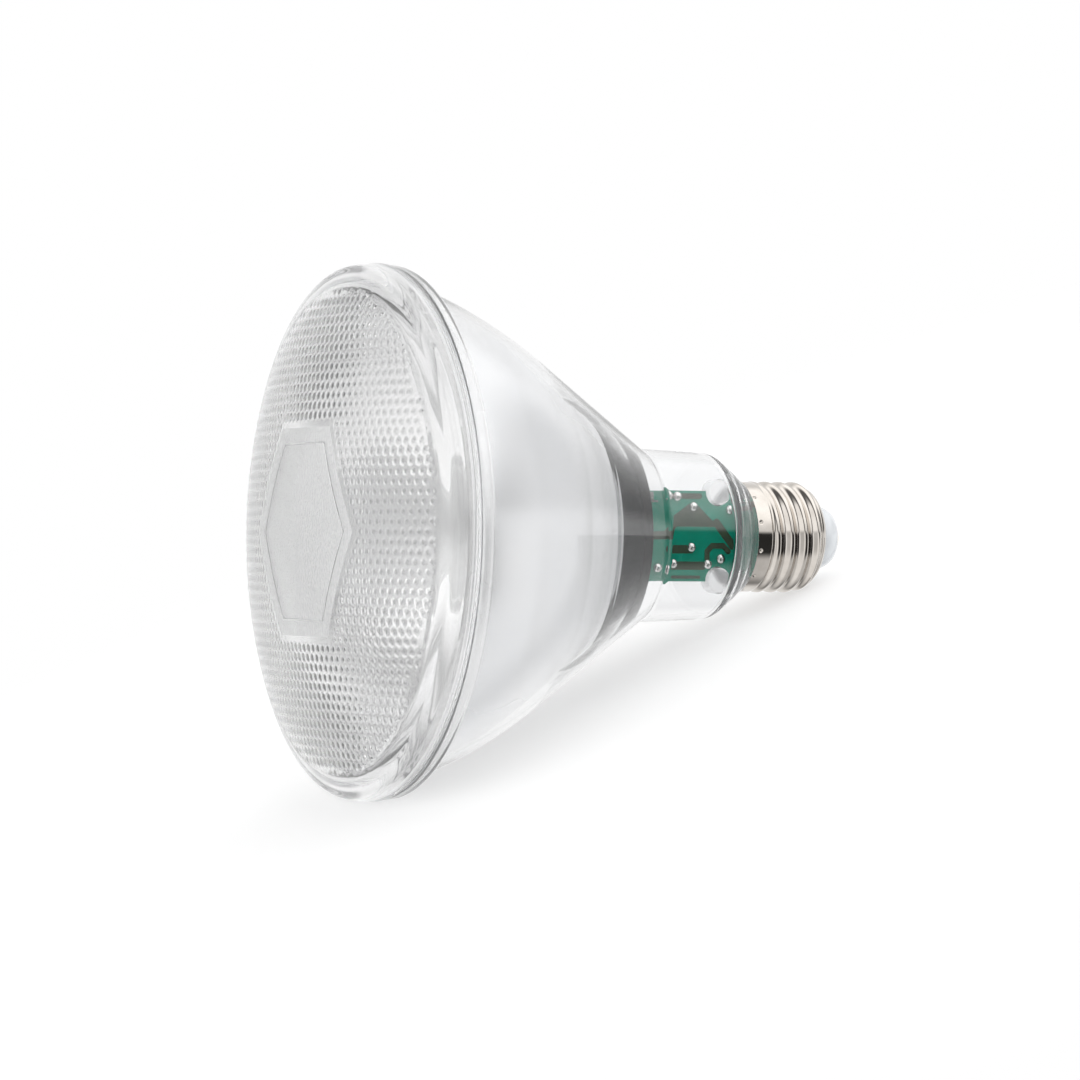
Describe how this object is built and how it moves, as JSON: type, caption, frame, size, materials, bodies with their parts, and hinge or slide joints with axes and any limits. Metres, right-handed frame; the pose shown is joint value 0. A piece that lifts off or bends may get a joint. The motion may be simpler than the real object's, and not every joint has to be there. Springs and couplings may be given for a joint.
{
  "type": "par spotlight bulb",
  "caption": "Reflector spotlight bulb with a domed lenslet lens, clear housing over a mirrored bowl and a screw cap.",
  "frame": {"origin": "centre of the flat underside of the end contact", "axes": "+Z along the lamp axis towards the lens, the way the light leaves; the driver board's soldered side faces -Y"},
  "size_m": [0.1214, 0.1214, 0.1369],
  "materials": {
    "lens": "clear, patterned",
    "seal": "satin",
    "clear_shell": "clear, glossy",
    "mirror_coat": "mirror",
    "spreader_metal": "satin",
    "led_board": "satin",
    "phosphor": "satin",
    "screw_steel": "satin",
    "wire_red": "satin",
    "green_board": "glossy",
    "covered_copper": "glossy",
    "solder": "glossy",
    "tinned_tab": "glossy",
    "ferrite": "matte",
    "copper_wire": "satin",
    "capacitor_sleeve": "glossy",
    "film_box": "glossy",
    "disc_coating": "glossy",
    "resistor_coating": "matte",
    "black_package": "matte",
    "wire_white": "satin",
    "nickel": "polished",
    "white_insulator": "glossy",
    "contact_metal": "satin"
  },
  "bodies": {
    "root": {"front_lens": "lens", "lens_seal": "seal", "housing": "clear_shell", "reflector": "mirror_coat", "heat_spreader": "spreader_metal", "led_board": "led_board", "led_chips": "phosphor", "board_screws": "screw_steel", "led_leads": "wire_red", "driver_board": "green_board", "copper_traces": "covered_copper", "solder_joints": "solder", "lead_tab": "tinned_tab", "choke_core": "ferrite", "choke_winding": "copper_wire", "electrolytic_capacitor": "capacitor_sleeve", "film_capacitor": "film_box", "disc_capacitor": "disc_coating", "fuse_resistor": "resistor_coating", "bridge_rectifier": "black_package", "driver_chip": "black_package", "live_wire": "wire_white", "neutral_wire": "wire_white", "screw_shell": "nickel", "insulator": "white_insulator", "end_contact": "contact_metal"}
  },
  "joints": []
}
